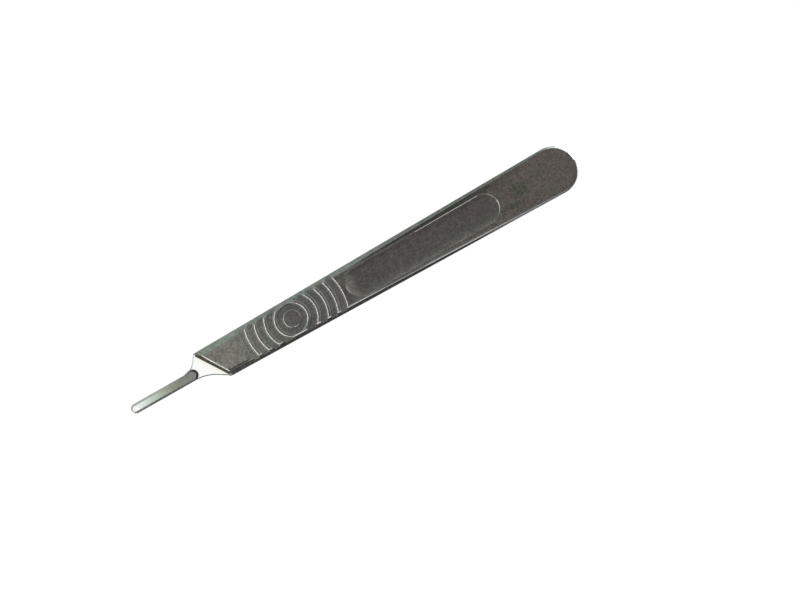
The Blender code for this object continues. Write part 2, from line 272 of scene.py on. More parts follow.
def stepped(name, outline, profile, matrix=Matrix(), paint=None):
    """An outline raised through a profile of (inset, height)."""
    steps = inward(outline)
    rings = []
    for inset, height in profile:
        moved = [(x + ux * inset, y + uy * inset) for (x, y), (ux, uy) in zip(outline, steps)]
        rings.append([(x, y, height) for x, y in moved])
    return lofted(name, rings, matrix, paint)


def turned(name, profile, matrix, paint=None):
    """A form turned round Z from a profile of (radius, height)."""
    circle = [2 * math.pi * k / RING_STEPS for k in range(RING_STEPS)]
    rings = [[(r * math.cos(a), r * math.sin(a), z) for a in circle] for r, z in profile]
    return lofted(name, rings, matrix, paint)


def tilted(normal, low, high):
    """Whether a normal leans from Z by between two angles in degrees."""
    return math.cos(math.radians(high)) < abs(normal.z) < math.cos(math.radians(low))


def between(value, limits):
    """Whether a value lies between two limits."""
    return limits[0] < value < limits[1]


def combine(target, operation, tool):
    """Works one form on another."""
    modifier = target.modifiers.new(tool.name, "BOOLEAN")
    modifier.operation = operation
    modifier.solver = "EXACT"
    modifier.object = tool


def settle(thing):
    """Puts a form's evaluated mesh in place of its modifiers, and removes their tools."""
    used = [modifier.object for modifier in thing.modifiers]
    graph = bpy.context.evaluated_depsgraph_get()
    mesh = bpy.data.meshes.new_from_object(thing.evaluated_get(graph))
    thing.modifiers.clear()
    thing.data = mesh
    for tool in used:
        bpy.data.objects.remove(tool)
    return thing


def wall(top, foot, depth, rim, fillet, run_out=True):
    """One side of a ridge or pocket: from over the face, round the rim, down to the floor and out."""
    way = 1 if foot > top else -1
    slope = math.atan2(depth, abs(foot - top))
    flat = LIFT / math.tan(RUN_IN)
    share = math.tan(RUN_IN) / (math.tan(slope) - math.tan(RUN_IN))
    rim_reach, fillet_reach = rim * math.tan(slope / 2), fillet * math.tan(slope / 2)
    above_floor = fillet_reach * share * math.tan(slope)
    points = [
        (top - way * (rim_reach + flat), -LIFT, 0),
        (top + way * rim_reach * share, rim_reach * share * math.tan(slope), rim),
    ]
    if run_out:
        points.append((foot - way * fillet_reach * share, depth - above_floor, fillet))
        points.append((foot + way * (fillet_reach + flat), depth + LIFT, 0))
    else:
        points.append((foot, depth, fillet))
        points.append((foot + way * 2 * fillet_reach, depth, 0))
    return filleted(points, closed=False, step=EDGE_STEP)


def blank():
    """The grip body: straight sides and a round butt, with a land and two rounded bevels all round."""
    lean = math.atan(SIDE_SLOPE)
    butt_radius = half_width(LENGTH) * math.cos(lean) / (1 + math.sin(lean))
    outline = filleted(
        [
            (at(BLANK_FRONT), -half_width(BLANK_FRONT), 0),
            (at(LENGTH), -half_width(LENGTH), butt_radius),
            (at(LENGTH), half_width(LENGTH), butt_radius),
            (at(BLANK_FRONT), half_width(BLANK_FRONT), 0),
        ]
    )
    columns = []
    for (x, y), (ux, uy) in zip(outline, inward(outline)):
        inset = 0.0
        for _ in range(BEVEL_ROUNDS):
            height = thickness(x + ux * inset + LENGTH / 2) / 2
            inset = (height - EDGE_LAND / 2) / math.tan(BEVEL_ANGLE)
        section = [
            (0, 0, 0),
            (0, EDGE_LAND / 2, LAND_ROUND),
            (inset, height, FACE_ROUND),
            (inset + MM, height, 0),
        ]
        half = filleted(section, closed=False, step=FACE_STEP)[1:-1]
        column = []
        for side, run in ((-1, reversed(half)), (1, half)):
            for across, up in run:
                px, py = x + ux * across, y + uy * across
                column.append([px, py, max(0.0, thickness(px + LENGTH / 2) / 2 + side * up)])
        column[0][2] = 0.0
        column[-1][2] = thickness(column[-1][0] + LENGTH / 2)
        columns.append(column)
    return lofted("handle", list(zip(*columns)), paint=blank_paint)


def blank_paint(centre, normal):
    """The roundings between bevels and faces get painted highlights, with a dark band of painted shade
    on the far side and only a faint highlight below; the two bevels are painted as lit and shaded
    copies.

    On the upper back side only the half of the rounding next to the face has a finish of its own.
    """
    if tilted(normal, 0, FACE_LEAN):
        return BODY
    if tilted(normal, SIDE_LEAN, UPRIGHT):
        return SIDE
    if tilted(normal, FACE_LEAN, ROUNDING_LEAN):
        if normal.z < 0:
            return FAINT_EDGE
        if normal.y < 0:
            return NEAR_BEVEL_EDGE
        return FAR_BEVEL_EDGE if tilted(normal, FACE_LEAN, CROWN_LEAN) else FAR_BEVEL
    return FAR_BEVEL if normal.y > 0 else NEAR_BEVEL


def shoulder_cut():
    """What is cut off in front of the oblique shoulder, whose walls lean back from the web."""
    back = Vector((at(SHOULDER_BACK), half_width(SHOULDER_BACK), 0))
    front = Vector((at(SHOULDER_FRONT), -half_width(SHOULDER_FRONT), 0))
    along = (front - back).normalized()
    across = Vector((-along.y, along.x, 0))
    middle = (back + front) / 2
    top = thickness(SHOULDER_MIDDLE)
    upper = [(x, WEB_TOP + z) for x, z in shoulder_wall(top - WEB_TOP)]
    lower = [(x, WEB_UNDERSIDE - z) for x, z in shoulder_wall(WEB_UNDERSIDE)]
    profile = [(-CUT_AHEAD, -CLEAR)] + list(reversed(lower)) + upper + [(-CUT_AHEAD, top + CLEAR)]
    drop = FACE_SLOPE * (SHOULDER_FRONT - SHOULDER_BACK) / (front - back).length
    rings = []
    half_span = (front - back).length / 2
    for reach in (-CUT_SPAN, CORNER_RUN - half_span, half_span - CORNER_RUN, CUT_SPAN):
        ring = []
        for x, z in profile:
            point = middle + along * reach + across * x
            ring.append((point.x, point.y, z - (drop * reach if z > WEB_TOP else 0)))
        rings.append(ring)
    return lofted("shoulder cut", rings, paint=shoulder_paint)


def shoulder_paint(centre, normal):
    """The shoulder's wall is painted dark as shade but for its two ends, which are painted lighter, and
    its rim gets a painted highlight.
    """
    if centre.y > half_width(SHOULDER_BACK):
        return WEB_FAR_EDGE
    if centre.y < -half_width(SHOULDER_FRONT):
        return EDGE
    if tilted(normal, SHOULDER_LEAN, UPRIGHT):
        return WALL
    on_rim = centre.z > WEB_TOP + RIM_ABOVE_WEB or centre.z < WEB_UNDERSIDE - RIM_BELOW_WEB
    return EDGE if on_rim else WALL


def shoulder_wall(height):
    """The shoulder's section above its foot, as (distance behind the foot, height over the web)."""
    lean = height * math.tan(SHOULDER_DRAFT)
    slope = math.pi / 2 - SHOULDER_DRAFT
    rim = SHOULDER_ROUND * math.tan(slope / 2)
    share = math.tan(RUN_IN) / (math.tan(slope) - math.tan(RUN_IN))
    foot = SHOULDER_FILLET * math.tan(slope / 2)
    points = [
        (-foot - 1.5 * LIFT / math.tan(RUN_IN), -1.5 * LIFT, 0),
        (foot * share, foot * share * math.tan(slope), SHOULDER_FILLET),
        (lean - rim * share, height - rim * share * math.tan(slope), SHOULDER_ROUND),
        (lean + rim + CLEAR, height + CLEAR * math.tan(RUN_IN), 0),
    ]
    return filleted(points, closed=False, step=EDGE_STEP)


def web_plate():
    """The tongue and web, a flat plate with rounded edges that runs into the body."""
    low, high = TONGUE_OFFSET - TONGUE_WIDTH / 2, TONGUE_OFFSET + TONGUE_WIDTH / 2
    front_end, back_end = SHOULDER_FRONT + WEB_SETBACK, SHOULDER_BACK + WEB_SETBACK
    front_corner, back_corner = half_width(front_end), half_width(back_end)
    front_run, back_run = 1 / math.tan(WEB_FRONT_ANGLE), 1 / math.tan(WEB_BACK_ANGLE)
    buried = SHOULDER_FRONT + WEB_BURIED
    outline = filleted(
        [
            (at(0), low, TONGUE_WIDTH / 2),
            (at(front_end - (front_corner + low) * front_run), low, WEB_FRONT_FILLET),
            (at(front_end - INSIDE * front_run), -front_corner + INSIDE, 0),
            (at(buried), -front_corner + INSIDE, 0),
            (at(buried), back_corner - INSIDE, 0),
            (at(back_end - INSIDE * back_run), back_corner - INSIDE, 0),
            (at(back_end - (back_corner - high) * back_run), high, WEB_BACK_FILLET),
            (at(0), high, TONGUE_WIDTH / 2),
        ]
    )
    edge = [(0, 0, 0), (0, WEB_THICKNESS / 2, WEB_ROUND), (MM, WEB_THICKNESS / 2, 0)]
    half = filleted(edge, closed=False, step=EDGE_STEP)[1:-1]
    middle = (WEB_UNDERSIDE + WEB_TOP) / 2
    lower = [(inset, middle - up) for inset, up in reversed(half)]
    upper = [(inset, middle + up) for inset, up in half]
    return stepped("web", outline, lower + upper, paint=web_paint)


def web_paint(centre, normal):
    """The web's rounded edges are duller than its faces and painted darker as shade, most on the near
    side, with a pale bluish painted reflection on the far side.
    """
    if abs(normal.z) > WEB_FLAT:
        return WEB
    return WEB_FAR_EDGE if normal.y > 0 else WEB_EDGE


def lug():
    """The lug that holds the blade: straight, flared to the back edge and round behind."""
    low = TONGUE_OFFSET - TONGUE_WIDTH / 2 + LUG_MARGIN
    straight = TONGUE_OFFSET + TONGUE_WIDTH / 2 - LUG_MARGIN
    high = low + LUG_WIDTH
    flare_end = LUG_END - FLARE_RUN * LUG_WIDTH
    outline = filleted(
        [
            (at(LUG_MARGIN), low, TONGUE_WIDTH / 2),
            (at(LUG_END), low, LUG_WIDTH / 2),
            (at(LUG_END), high, LUG_WIDTH / 2),
            (at(flare_end), high, LUG_FLARE),
            (at(flare_end - LUG_FLARE), straight, LUG_FLARE),
            (at(LUG_MARGIN), straight, TONGUE_WIDTH / 2),
        ]
    )
    chamfer = filleted(
        [
            (0, HEAD_TOP - 2 * HEAD_CHAMFER_DROP, 0),
            (0, HEAD_TOP - HEAD_CHAMFER_DROP, LUG_ROUND),
            (HEAD_CHAMFER, HEAD_TOP, LUG_ROUND),
            (2 * HEAD_CHAMFER, HEAD_TOP, 0),
        ],
        closed=False,
        step=EDGE_STEP,
    )[1:-1]
    form = stepped("lug", outline, [(0, WEB_UNDERSIDE + WEB_THICKNESS / 2)] + chamfer, paint=lug_paint)
    mesh = bmesh.new()
    mesh.from_mesh(form.data)
    for k in range(1, LUG_SLICES):
        plane = Vector((at(LUG_END * k / LUG_SLICES), 0, 0))
        everything = mesh.verts[:] + mesh.edges[:] + mesh.faces[:]
        bmesh.ops.bisect_plane(mesh, geom=everything, plane_co=plane, plane_no=(1, 0, 0), dist=1e-7)
    for vertex in mesh.verts:
        if vertex.co.z > HEAD_UNDERSIDE:
            ahead = at(LUG_END) - vertex.co.x
            rise = max(0.0, 1 - (HEAD_TOP - vertex.co.z) / HEAD_CHAMFER_DROP)
            vertex.co.x -= rise * TIP_REACH * max(0.0, 1 - (LUG_END - ahead) / TONGUE_WIDTH)
            vertex.co.z -= math.tan(HEAD_SLOPE) * ahead + LUG_CROWN * max(0.0, ahead / LUG_END) ** 3
    mesh.to_mesh(form.data)
    mesh.free()
    return form


def lug_paint(centre, normal):
    """The lug's top has a painted sheen, its chamfer is painted lit and shaded on its two sides, and
    the wall behind it is painted dark as shade.
    """
    if abs(normal.z) > LUG_FLAT:
        return LUG
    if centre.x > at(LUG_END - LUG_REAR * LUG_WIDTH) and abs(normal.z) < LUG_STEEP:
        return WALL
    return LUG_FAR_EDGE if normal.y > 0 else LUG_EDGE


def blade_grooves():
    """The slit round the front of the lug, where the edges of the blade's slot run in."""
    neck = TONGUE_WIDTH / 2 - GROOVE_DEPTH
    outline = filleted(
        [
            (at(-CLEAR), -LUG_WIDTH, 0),
            (at(GROOVE_END), -LUG_WIDTH, 0),
            (at(GROOVE_END), TONGUE_OFFSET - neck, GROOVE_DEPTH / 2),
            (at(GROOVE_DEPTH), TONGUE_OFFSET - neck, neck),
            (at(GROOVE_DEPTH), TONGUE_OFFSET + neck, neck),
            (at(GROOVE_END), TONGUE_OFFSET + neck, GROOVE_DEPTH / 2),
            (at(GROOVE_END), LUG_WIDTH, 0),
            (at(-CLEAR), LUG_WIDTH, 0),
        ]
    )
    return stepped("blade grooves", outline, [(0, WEB_TOP - WEB_THICKNESS / 4), (0, HEAD_UNDERSIDE)])


def grip_ridges(name, matrix):
    """A turned comb whose teeth are the disc and the ridges that stay standing in the grip pocket."""
    top = GRIP_DEPTH + CLEAR / 2
    backing = GRIP_DEPTH + CLEAR / 4
    beyond = RIDGE_START + RIDGE_COUNT * RIDGE_PITCH
    profile = [(beyond, top), (beyond, backing)]
    for i in reversed(range(RIDGE_COUNT)):
        inner = RIDGE_START + i * RIDGE_PITCH
        outer = inner + RIDGE_WIDTH
        outside = wall(outer, outer + GRIP_WALL, GRIP_DEPTH, RIDGE_ROUND, GROOVE_FILLET)
        within = wall(inner, inner - GRIP_WALL, GRIP_DEPTH, RIDGE_ROUND, GROOVE_FILLET)
        profile += [(outside[-1][0], backing)] + list(reversed(outside)) + [(outside[0][0], -CLEAR)]
        profile += [(within[0][0], -CLEAR)] + within + [(within[-1][0], backing)]
    disc = wall(DISC_RADIUS, DISC_RADIUS + GRIP_WALL, GRIP_DEPTH, RIDGE_ROUND, GROOVE_FILLET)
    profile += [(disc[-1][0], backing)] + list(reversed(disc)) + [(disc[0][0], -CLEAR)]
    return turned(name, profile, matrix, ridge_paint)


def ridge_paint(centre, normal):
    """The rims of the ridges get painted highlights, strongest where they face the nose, and their feet
    are dull.
    """
    if centre.z > FLOOR_SHARE * GRIP_DEPTH:
        return FLOOR
    if centre.z < 0 or not tilted(normal, *RIM_LEANS):
        return BODY
    if centre.z > FOOT_SHARE * GRIP_DEPTH:
        return DULL
    level = math.hypot(normal.x, normal.y)
    if math.hypot(centre.x, centre.y) < (DISC_RADIUS + RIDGE_START) / 2:
        return NEAR_BEVEL_EDGE if normal.y > NEARWARD * level else FAINT_EDGE
    return EDGE if normal.x < -NOSEWARD * level else FAINT_EDGE


def pocket_paint(centre, normal):
    """The finish of the pocket, whose die faces the other way than a ridge does."""
    return ridge_paint(centre, -normal)


def grip_die(name, matrix):
    """The grip pocket, straight in front and arched behind, less the ridges."""
    side = half_width(GRIP_CENTRE) + CLEAR
    reach = math.asin(side / GRIP_REAR_RADIUS)
    outline = [(-GRIP_FRONT_EDGE, side), (-GRIP_FRONT_EDGE, -side)]
    for k in range(POCKET_STEPS + 1):
        angle = -reach + 2 * reach * k / POCKET_STEPS
        outline.append((GRIP_REAR_RADIUS * math.cos(angle), GRIP_REAR_RADIUS * math.sin(angle)))
    section = wall(0, GRIP_WALL, GRIP_DEPTH, RIDGE_ROUND, GROOVE_FILLET, run_out=False)[:-1]
    die = stepped(name, outline, [(section[0][0], -CLEAR / 2)] + section, matrix, pocket_paint)
    combine(die, "DIFFERENCE", grip_ridges(f"{name} ridges", matrix))
    return settle(die)


def panel_die(name, matrix, skew):
    """The label panel's die: an obround with a small step at its rim and a cove down to its floor."""
    step = PANEL_STEP
    rim = filleted(
        [
            (-2 * step, -2 * step * math.tan(RUN_IN), 0),
            (0, 0, PANEL_ROUND),
            (PANEL_STEP_RUN, step, 0),
        ],
        closed=False,
        step=EDGE_STEP,
    )
    fall = 2 * math.atan2(PANEL_DEPTH - step, PANEL_COVE - PANEL_STEP_RUN)
    radius = (PANEL_COVE - PANEL_STEP_RUN) / math.sin(fall)
    cove = []
    for k in range(1, COVE_STEPS + 1):
        angle = fall * (1 - k / COVE_STEPS)
        rise = radius * (1 - math.cos(angle))
        cove.append((PANEL_COVE - radius * math.sin(angle), PANEL_DEPTH - rise))
    half = PANEL_HALF + PANEL_RADIUS
    outline = filleted(
        [
            (-half, -PANEL_RADIUS, PANEL_RADIUS),
            (0, -PANEL_RADIUS, 0),
            (half, -PANEL_RADIUS, PANEL_RADIUS),
            (half, PANEL_RADIUS, PANEL_RADIUS),
            (-half, PANEL_RADIUS, PANEL_RADIUS),
        ]
    )
    rear = Matrix.Translation((PANEL_HALF, 0, 0))
    turn = rear @ Matrix.Rotation(skew, 4, "Z") @ rear.inverted()
    profile = [(rim[0][0], -CLEAR / 2)] + rim + cove
    return stepped(name, outline, profile, matrix @ turn, panel_paint)


def panel_paint(centre, normal):
    """The step at the recess's rim gets a painted highlight in the middle of its ends and along the
    rear back side.

    The rest of its front half is dull.
    """
    if centre.z > PANEL_STEP:
        return PANEL
    past_side = abs(centre.x) - PANEL_HALF
    angle = math.degrees(math.atan2(centre.y, past_side)) if past_side > 0 else -90
    if centre.x < 0:
        return PANEL_EDGE if between(angle, FRONT_LIGHT) else DULL
    if between(angle, REAR_FADE):
        return BODY
    straight_back_side = past_side < 0 and centre.y < 0
    return PANEL_EDGE if between(angle, REAR_LIGHT) or straight_back_side else PANEL


def lower_face(s):
    """A frame on the lower face, with Z into the metal."""
    return Matrix.Translation((at(s), COIN_OFFSET, 0))


def upper_face(s):
    """A frame on the upper face, with Z into the metal."""
    place = Matrix.Translation((at(s), COIN_OFFSET, thickness(s)))
    tilt = Matrix.Rotation(math.atan(FACE_SLOPE), 4, "Y")
    return place @ tilt @ Matrix.Rotation(math.pi, 4, "X")


# Distances over which colours run
SHOULDER_GLOW = 2 * MM
PANEL_FADE = 4 * MM
EDGE_FADE = 0.1 * MM

# The steel's texture: sizes of its blotches and grain, and how far each changes shade, gloss or height
FINE_SIZE, FINE_DARK, FINE_LIGHT = 0.55 * MM, 0.30, 0.24
PATCH_SIZE, PATCH_CHANGE = 1.8 * MM, 0.09
TINT_SIZE = 4.0 * MM
TINTS = [(0.34, (0.96, 1.01, 0.97)), (0.5, (1.0, 1.0, 0.98)), (0.66, (1.02, 0.96, 0.965))]
GLOSS_SIZE, GLOSS_CHANGE = 0.9 * MM, 0.04
GRAIN_SIZE, GRAIN_STRENGTH, BLASTED, POLISHED = 0.12 * MM, 0.35, 0.0015 * MM, 0.001 * MM
# The share of each darkened spot's reach, stain mark and painted shadow alike, that is at full strength
SPOT_CORE = 0.45


def add(tree, kind, inputs=(), **settings):
    """A node with its settings and inputs; an input is a value or another node's output."""
    node = tree.nodes.new(kind)
    for key, value in settings.items():
        setattr(node, key, value)
    for key, value in dict(inputs).items():
        if isinstance(value, bpy.types.NodeSocket):
            tree.links.new(value, node.inputs[key])
        else:
            node.inputs[key].default_value = value
    return node


def noise(tree, size, detail=2.0, rough=0.5, shift=0.0):
    """A noise from 0 to 1 whose blotches are about size metres across."""
    place = add(tree, "ShaderNodeTexCoord").outputs["Object"]
    moved = add(tree, "ShaderNodeMapping", {"Vector": place, "Location": (shift, shift, shift)})
    inputs = {"Vector": moved.outputs[0], "Scale": 1 / size, "Detail": detail, "Roughness": rough}
    return add(tree, "ShaderNodeTexNoise", inputs).outputs["Fac"]


def ramp(tree, value, stops):
    """A colour that runs through stops of (position, colour)."""
    node = add(tree, "ShaderNodeValToRGB", {0: value})
    band = node.color_ramp
    while len(band.elements) < len(stops):
        band.elements.new(0.5)
    while len(band.elements) > len(stops):
        band.elements.remove(band.elements[-1])
    for element, (position, colour) in zip(band.elements, stops):
        element.position = position
        element.color = (*colour, 1)
    return node.outputs["Color"]


def spread(tree, value, low, high, to_low=0.0, to_high=1.0):
    """A value mapped from one range to another."""
    inputs = {"Value": value, "From Min": low, "From Max": high, "To Min": to_low, "To Max": to_high}
    return add(tree, "ShaderNodeMapRange", inputs, clamp=True).outputs[0]


def times(tree, first, second, factor=1.0):
    """The product of two colours, as far as factor says."""
    node = add(tree, "ShaderNodeMix", data_type="RGBA", blend_type="MULTIPLY")
    for index, value in ((0, factor), (6, first), (7, second)):
        if isinstance(value, bpy.types.NodeSocket):
            tree.links.new(value, node.inputs[index])
        else:
            node.inputs[index].default_value = value
    return node.outputs[2]


def along(tree):
    """The distance from the nose as a share of the length."""
    place = add(tree, "ShaderNodeTexCoord").outputs["Object"]
    return spread(tree, add(tree, "ShaderNodeSeparateXYZ", {0: place}).outputs["X"], at(0), at(LENGTH))


def from_shoulder(tree):
    """The distance in front of the shoulder's foot, from 0 to 1 over SHOULDER_GLOW."""
    place = add(tree, "ShaderNodeTexCoord").outputs["Object"]
    run, rise = SHOULDER_FRONT - SHOULDER_BACK, half_width(SHOULDER_BACK) + half_width(SHOULDER_FRONT)
    ahead = Vector((-rise, -run, 0)).normalized()
    foot = Vector((at(SHOULDER_BACK), half_width(SHOULDER_BACK), 0)).dot(ahead)
    reach = add(tree, "ShaderNodeVectorMath", {0: place, 1: ahead}, operation="DOT_PRODUCT")
    return spread(tree, reach.outputs["Value"], foot, foot + SHOULDER_GLOW)


def across_panel(tree):
    """The distance over the recess from its near side, as a share of its width."""
    place = add(tree, "ShaderNodeTexCoord").outputs["Object"]
    width = add(tree, "ShaderNodeSeparateXYZ", {0: place}).outputs["Y"]
    return spread(tree, width, COIN_OFFSET - PANEL_RADIUS, COIN_OFFSET + PANEL_RADIUS)


def from_panel_front(tree):
    """The distance behind the recess's front end, from 0 to 1 over PANEL_FADE."""
    place = add(tree, "ShaderNodeTexCoord").outputs["Object"]
    reach = add(tree, "ShaderNodeSeparateXYZ", {0: place}).outputs["X"]
    end = at(PANEL_FRONT) - PANEL_RADIUS
    return spread(tree, reach, end, end + PANEL_FADE)


def past_face(tree):
    """The distance past the upper face's back edge, from 0 to 1 over EDGE_FADE."""
    place = add(tree, "ShaderNodeTexCoord").outputs["Object"]
    run_back = Vector((-SIDE_SLOPE - FACE_SLOPE / 2 / math.tan(BEVEL_ANGLE), 1, 0)).normalized()
    inset = (REAR_THICKNESS - EDGE_LAND) / 2 / math.tan(BEVEL_ANGLE)
    edge = Vector((at(LENGTH), half_width(LENGTH) - inset, 0)).dot(run_back)
    reach = add(tree, "ShaderNodeVectorMath", {0: place, 1: run_back}, operation="DOT_PRODUCT")
    return spread(tree, reach.outputs["Value"], edge, edge + EDGE_FADE)


def lighter(tree, first, second):
    """The lighter of two colours."""
    node = add(tree, "ShaderNodeMix", {0: 1.0}, data_type="RGBA", blend_type="LIGHTEN")
    tree.links.new(first, node.inputs[6])
    tree.links.new(second, node.inputs[7])
    return node.outputs[2]


def soft_spot(tree, s, y, long, wide):
    """A soft spot round a place on the handle, 1 in its core and 0 beyond its two reaches."""
    place = add(tree, "ShaderNodeTexCoord").outputs["Object"]
    shift, scale = (-at(s) / long, -y / wide, 0), (1 / long, 1 / wide, 0)
    inputs = {"Vector": place, "Location": shift, "Scale": scale}
    moved = add(tree, "ShaderNodeMapping", inputs).outputs[0]
    away = add(tree, "ShaderNodeVectorMath", {0: moved}, operation="LENGTH").outputs["Value"]
    return spread(tree, away, 1.0, SPOT_CORE)


def shades(dark, light):
    """A ramp's stops from a darker to a lighter grey, about 1."""
    return [(0.36, (1 - dark,) * 3), (0.64, (1 + light,) * 3)]


def finish(
    name, stops, roughness, mottle=1.0, grain=BLASTED, metallic=1.0, run=along, lift=None, stains_and_shade=()
):
    """A steel finish whose colour runs through stops of (share of the run, colour).

    It has a fine grey mottle, broad reddish and greenish patches, uneven gloss and a blasted grain,
    grain metres high. Where the colour of lift, a pair of a run and its stops, is lighter, it shows
    instead. Each darkened spot is a place, two reaches and a colour that darkens the steel there; some
    are stain marks and some painted shadow.
    """
    steel = bpy.data.materials.new(name)
    steel.use_nodes = True
    tree = steel.node_tree
    shader = tree.nodes["Principled BSDF"]
    shader.inputs["Metallic"].default_value = metallic
    colour = ramp(tree, run(tree), stops)
    if lift:
        colour = lighter(tree, colour, ramp(tree, lift[0](tree), lift[1]))
    for s, y, long, wide, shadow in stains_and_shade:
        colour = times(tree, colour, (*shadow, 1), soft_spot(tree, s, y, long, wide))
    fine = noise(tree, FINE_SIZE, detail=3.0, rough=0.65)
    shade = ramp(tree, fine, shades(FINE_DARK * mottle, FINE_LIGHT * mottle))
    patches = noise(tree, PATCH_SIZE, shift=0.5)
    cloud = ramp(tree, patches, shades(PATCH_CHANGE * mottle, PATCH_CHANGE * mottle))
    tint = ramp(tree, noise(tree, TINT_SIZE, shift=0.1), TINTS)
    grey = times(tree, times(tree, colour, shade), cloud)
    tree.links.new(times(tree, grey, tint, mottle), shader.inputs["Base Color"])
    cover = noise(tree, GLOSS_SIZE, detail=3.0, rough=0.6, shift=0.3)
    gloss = spread(tree, cover, 0.3, 0.7, roughness - GLOSS_CHANGE, roughness + GLOSS_CHANGE)
    tree.links.new(gloss, shader.inputs["Roughness"])
    if grain:
        height = noise(tree, GRAIN_SIZE, rough=0.6, shift=0.7)
        inputs = {"Height": height, "Strength": GRAIN_STRENGTH, "Distance": grain}
        bump = add(tree, "ShaderNodeBump", inputs)
        tree.links.new(bump.outputs[0], shader.inputs["Normal"])
    return steel


# Finishes, all of one steel: darkened and satin on the body, ground bright on the web and painted near
# white there, and much lighter towards the tip on the lug's top, both painted reflections of bright
# light. The edge, bevel, panel, web edge and lug edge finishes carry painted highlights and shade, and
# the dark wall is painted shade. FLOOR is for the grip's grooves, and DULL for the feet of its walls
# and the recess's front rim. Tones run along the handle unless a finish says otherwise.
BODY, EDGE, FAINT_EDGE, NEAR_BEVEL, FAR_BEVEL, NEAR_BEVEL_EDGE, FAR_BEVEL_EDGE, PANEL = range(8)
PANEL_EDGE, WEB, WEB_EDGE, WEB_FAR_EDGE, LUG, LUG_EDGE, LUG_FAR_EDGE, WALL = range(8, 16)
SIDE, FLOOR, DULL = range(16, 19)
# The body's tone along the handle; the lighter stretch over the flat between shoulder and grip is a
# painted reflection
BODY_TONES = [
    (0.20, (0.180, 0.178, 0.158)),
    (0.25, (0.167, 0.165, 0.147)),
    (0.29, (0.124, 0.125, 0.113)),
    (0.36, (0.096, 0.096, 0.089)),
    (0.46, (0.099, 0.096, 0.090)),
    (0.58, (0.106, 0.101, 0.092)),
    (0.80, (0.096, 0.085, 0.077)),
    (1.00, (0.101, 0.087, 0.079)),
]
# The near bevel, painted as the shaded side: lighter towards the front, with a painted highlight near
# the butt
NEAR_BEVEL_TONES = [
    (0.24, (0.155, 0.155, 0.145)),
    (0.34, (0.115, 0.115, 0.105)),
    (0.76, (0.100, 0.100, 0.095)),
    (0.86, (0.420, 0.430, 0.430)),
    (0.96, (0.300, 0.300, 0.290)),
    (0.99, (0.560, 0.560, 0.550)),
]
# The far bevel, painted lighter than the near one in the front half as a reflection, with a painted
# highlight near the butt
FAR_BEVEL_TONES = [
    (0.24, (0.150, 0.147, 0.132)),
    (0.32, (0.130, 0.122, 0.114)),
    (0.48, (0.134, 0.130, 0.120)),
    (0.58, (0.112, 0.103, 0.096)),
    (0.80, (0.088, 0.083, 0.074)),
    (0.950, (0.090, 0.085, 0.080)),
    (0.965, (0.300, 0.300, 0.290)),
    (0.990, (0.560, 0.560, 0.550)),
]
# A painted highlight along the near rounding and on the disc's near rim, dark at its front end as
# painted shade and dimmer in the middle
NEAR_BEVEL_EDGE_TONES = [
    (0.245, (0.050, 0.050, 0.046)),
    (0.262, (0.190, 0.183, 0.175)),
    (0.32, (0.200, 0.196, 0.186)),
    (0.36, (0.250, 0.245, 0.235)),
    (0.44, (0.225, 0.220, 0.210)),
    (0.53, (0.172, 0.168, 0.165)),
    (0.56, (0.112, 0.110, 0.108)),
    (0.63, (0.112, 0.110, 0.108)),
    (0.66, (0.185, 0.182, 0.180)),
    (0.76, (0.180, 0.177, 0.174)),
    (0.86, (0.120, 0.122, 0.122)),
    (0.97, (0.080, 0.080, 0.078)),
    (0.995, (0.080, 0.080, 0.078)),
]
# A painted highlight along the upper half of the far rounding in front, then a dark band of painted
# shade beside the recess
FAR_BEVEL_EDGE_TONES = [
    (0.20, (0.178, 0.178, 0.166)),
    (0.27, (0.165, 0.162, 0.152)),
    (0.33, (0.150, 0.150, 0.138)),
    (0.50, (0.160, 0.160, 0.148)),
    (0.55, (0.035, 0.037, 0.033)),
    (0.78, (0.035, 0.037, 0.033)),
    (0.84, (0.078, 0.080, 0.072)),
    (0.965, (0.075, 0.075, 0.070)),
    (0.985, (0.080, 0.080, 0.078)),
]
# Across the recess from its near side: lighter by the near side and darkest at the far wall, painted
# light and shade
PANEL_TONES = [
    (0.02, (0.096, 0.092, 0.084)),
    (0.12, (0.087, 0.084, 0.077)),
    (0.24, (0.077, 0.072, 0.068)),
    (0.82, (0.076, 0.069, 0.066)),
    (0.94, (0.074, 0.068, 0.066)),
    (0.985, (0.045, 0.045, 0.042)),
]
# A pale greenish painted light on the recess's front cove, fading backwards
PANEL_FRONT_TONES = [
    (0.05, (0.142, 0.144, 0.126)),
    (0.40, (0.122, 0.122, 0.108)),
    (0.70, (0.082, 0.078, 0.073)),
    (0.95, (0.000, 0.000, 0.000)),
]
# A greenish painted reflection on the grooves' floors where they run out past the upper face's far edge
FLOOR_END_TONES = [
    (0.0, (0.0, 0.0, 0.0)),
    (1.0, (0.118, 0.160, 0.135)),
]
# Darkened spots on the faces, stain marks and painted shadow: distance from the nose, place across,
# reach along and across, and the colour that the steel is multiplied by. The first is a painted shadow
# along the strip between the recess's far rim and the far bevel, the second darkens the land in front
# of the recess, and the last three are tinted stain marks behind the recess.
STAINS_AND_SHADE = [
    (85.0 * MM, 6.0 * MM, 31.0 * MM, 3.9 * MM, (0.42, 0.47, 0.43)),
    (60.1 * MM, -0.6 * MM, 1.2 * MM, 6.0 * MM, (0.80, 0.78, 0.78)),
    (109.3 * MM, 0.1 * MM, 2.9 * MM, 2.0 * MM, (0.74, 0.86, 0.79)),
    (106.5 * MM, -2.6 * MM, 2.2 * MM, 1.4 * MM, (0.76, 0.90, 0.80)),
    (103.0 * MM, 0.8 * MM, 1.6 * MM, 1.4 * MM, (0.86, 0.90, 0.95)),
]
